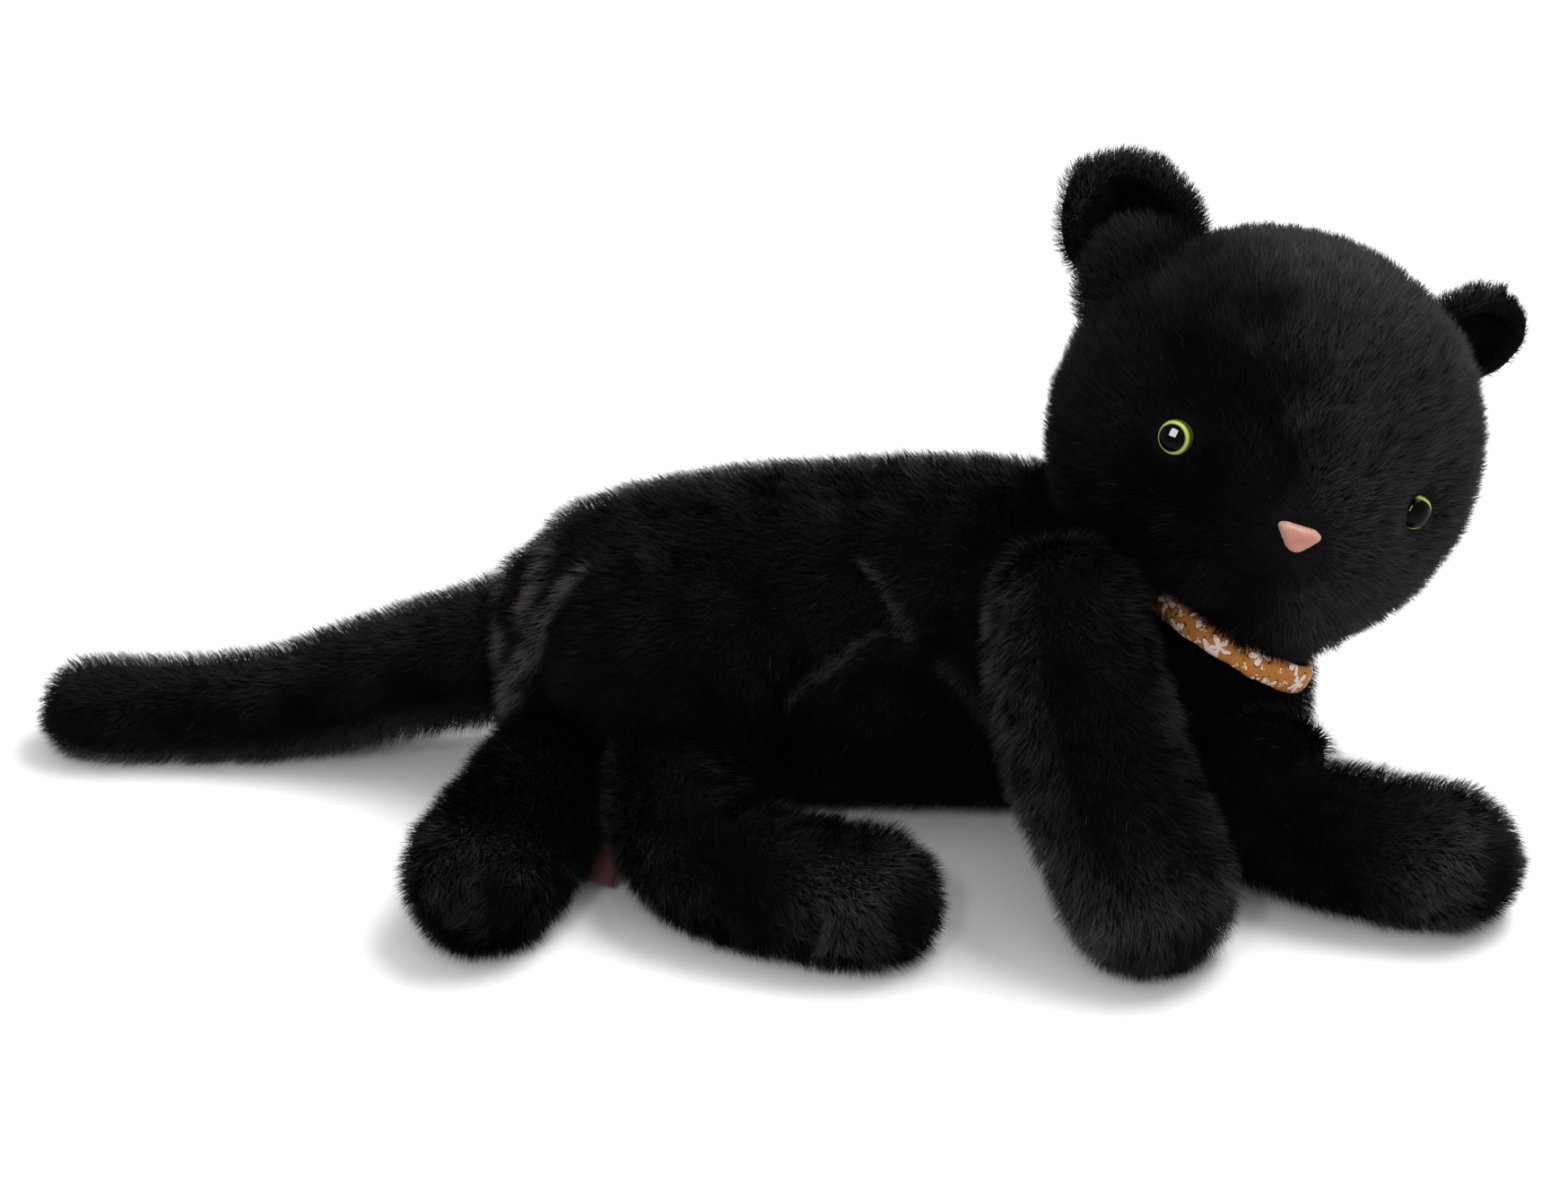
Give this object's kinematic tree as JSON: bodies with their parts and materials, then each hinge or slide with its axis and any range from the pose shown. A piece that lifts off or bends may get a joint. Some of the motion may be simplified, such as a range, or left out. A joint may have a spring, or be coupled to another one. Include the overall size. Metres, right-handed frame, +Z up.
{
  "type": "plush cat toy",
  "caption": "Black long-pile plush cat lying on its side, with jointed head, legs and tail, domed green-ringed eyes and a padded flower-print collar.",
  "frame": {"origin": "centre of the flat patch under the torso, on the surface the toy lies on", "axes": "+X along the spine to the head, -Y to the belly, legs and face, +Z up; the cat's left side is down"},
  "size_m": [0.4589, 0.1723, 0.1951],
  "materials": {
    "pile_cloth": "black long-pile plush",
    "stuffing": "white polyester fibre",
    "pellets": "bagged plastic pellets",
    "collar_cotton": "ochre-brown flower-print cotton",
    "eye_clear": "clear polished dome over a black pupil",
    "eye_paint": "yellow-green painted disc",
    "eye_plastic": "moulded black plastic",
    "washer_plastic": "moulded natural plastic",
    "nose_thread": "pink satin stitch",
    "label_ribbon": "dark brown woven ribbon"
  },
  "bodies": {
    "torso": {"torso_skin": "pile_cloth", "torso_stuffing": "stuffing", "belly_pellet_bag": "pellets", "thigh_right_skin": "pile_cloth", "thigh_right_stuffing": "stuffing", "collar_band": "collar_cotton", "collar_filler": "stuffing", "collar_joint": "collar_cotton"},
    "neck": {"neck_wad": "stuffing"},
    "head": {"head_skin": "pile_cloth", "head_stuffing": "stuffing", "ear_left_back": "pile_cloth", "ear_left_lining": "pile_cloth", "ear_right_back": "pile_cloth", "ear_right_lining": "pile_cloth", "eye_left_dome": "eye_clear", "eye_left_iris": "eye_paint", "eye_left_stem": "eye_plastic", "eye_left_washer": "washer_plastic", "eye_right_dome": "eye_clear", "eye_right_iris": "eye_paint", "eye_right_stem": "eye_plastic", "eye_right_washer": "washer_plastic", "nose_patch": "nose_thread"},
    "fore_leg_right": {"fore_leg_right_skin": "pile_cloth", "fore_leg_right_stuffing": "stuffing", "fore_leg_right_pellets": "pellets"},
    "fore_leg_left": {"fore_leg_left_skin": "pile_cloth", "fore_leg_left_stuffing": "stuffing", "fore_leg_left_pellets": "pellets"},
    "hind_leg_right": {"hind_leg_right_skin": "pile_cloth", "hind_leg_right_stuffing": "stuffing", "hind_leg_right_pellets": "pellets", "ribbon_label": "label_ribbon"},
    "hind_leg_left": {"hind_leg_left_skin": "pile_cloth", "hind_leg_left_stuffing": "stuffing", "hind_leg_left_pellets": "pellets"},
    "tail": {"tail_skin": "pile_cloth", "tail_stuffing": "stuffing"}
  },
  "joints": [
    {"name": "head_turn", "type": "hinge", "parent": "torso", "child": "neck", "pos_m": [0.12395, -0.0164, 0.06212], "axis": [0.3301, 0.2311, 0.9152], "range_deg": [-30, 30]},
    {"name": "head_nod", "type": "hinge", "parent": "neck", "child": "head", "pos_m": [0.1431, -0.003, 0.1152], "axis": [0.9356, 0.0484, -0.3497], "range_deg": [-10, 10]},
    {"name": "fore_leg_right_swing", "type": "hinge", "parent": "torso", "child": "fore_leg_right", "pos_m": [0.0815, -0.0555, 0.087], "axis": [0, 0, 1], "range_deg": [-30, 12]},
    {"name": "fore_leg_left_swing", "type": "hinge", "parent": "torso", "child": "fore_leg_left", "pos_m": [0.127, -0.0515, 0.024], "axis": [0, 0, 1], "range_deg": [-25, 5]},
    {"name": "hind_leg_right_swing", "type": "hinge", "parent": "torso", "child": "hind_leg_right", "pos_m": [-0.033, -0.054, 0.0285], "axis": [0, 0, 1], "range_deg": [-12, 25]},
    {"name": "hind_leg_left_swing", "type": "hinge", "parent": "torso", "child": "hind_leg_left", "pos_m": [-0.068, -0.0385, 0.023], "axis": [0, 0, 1], "range_deg": [-30, 6]},
    {"name": "tail_swing", "type": "hinge", "parent": "torso", "child": "tail", "pos_m": [-0.087, 0.005, 0.039], "axis": [0, 0, 1], "range_deg": [-20, 20]}
  ]
}
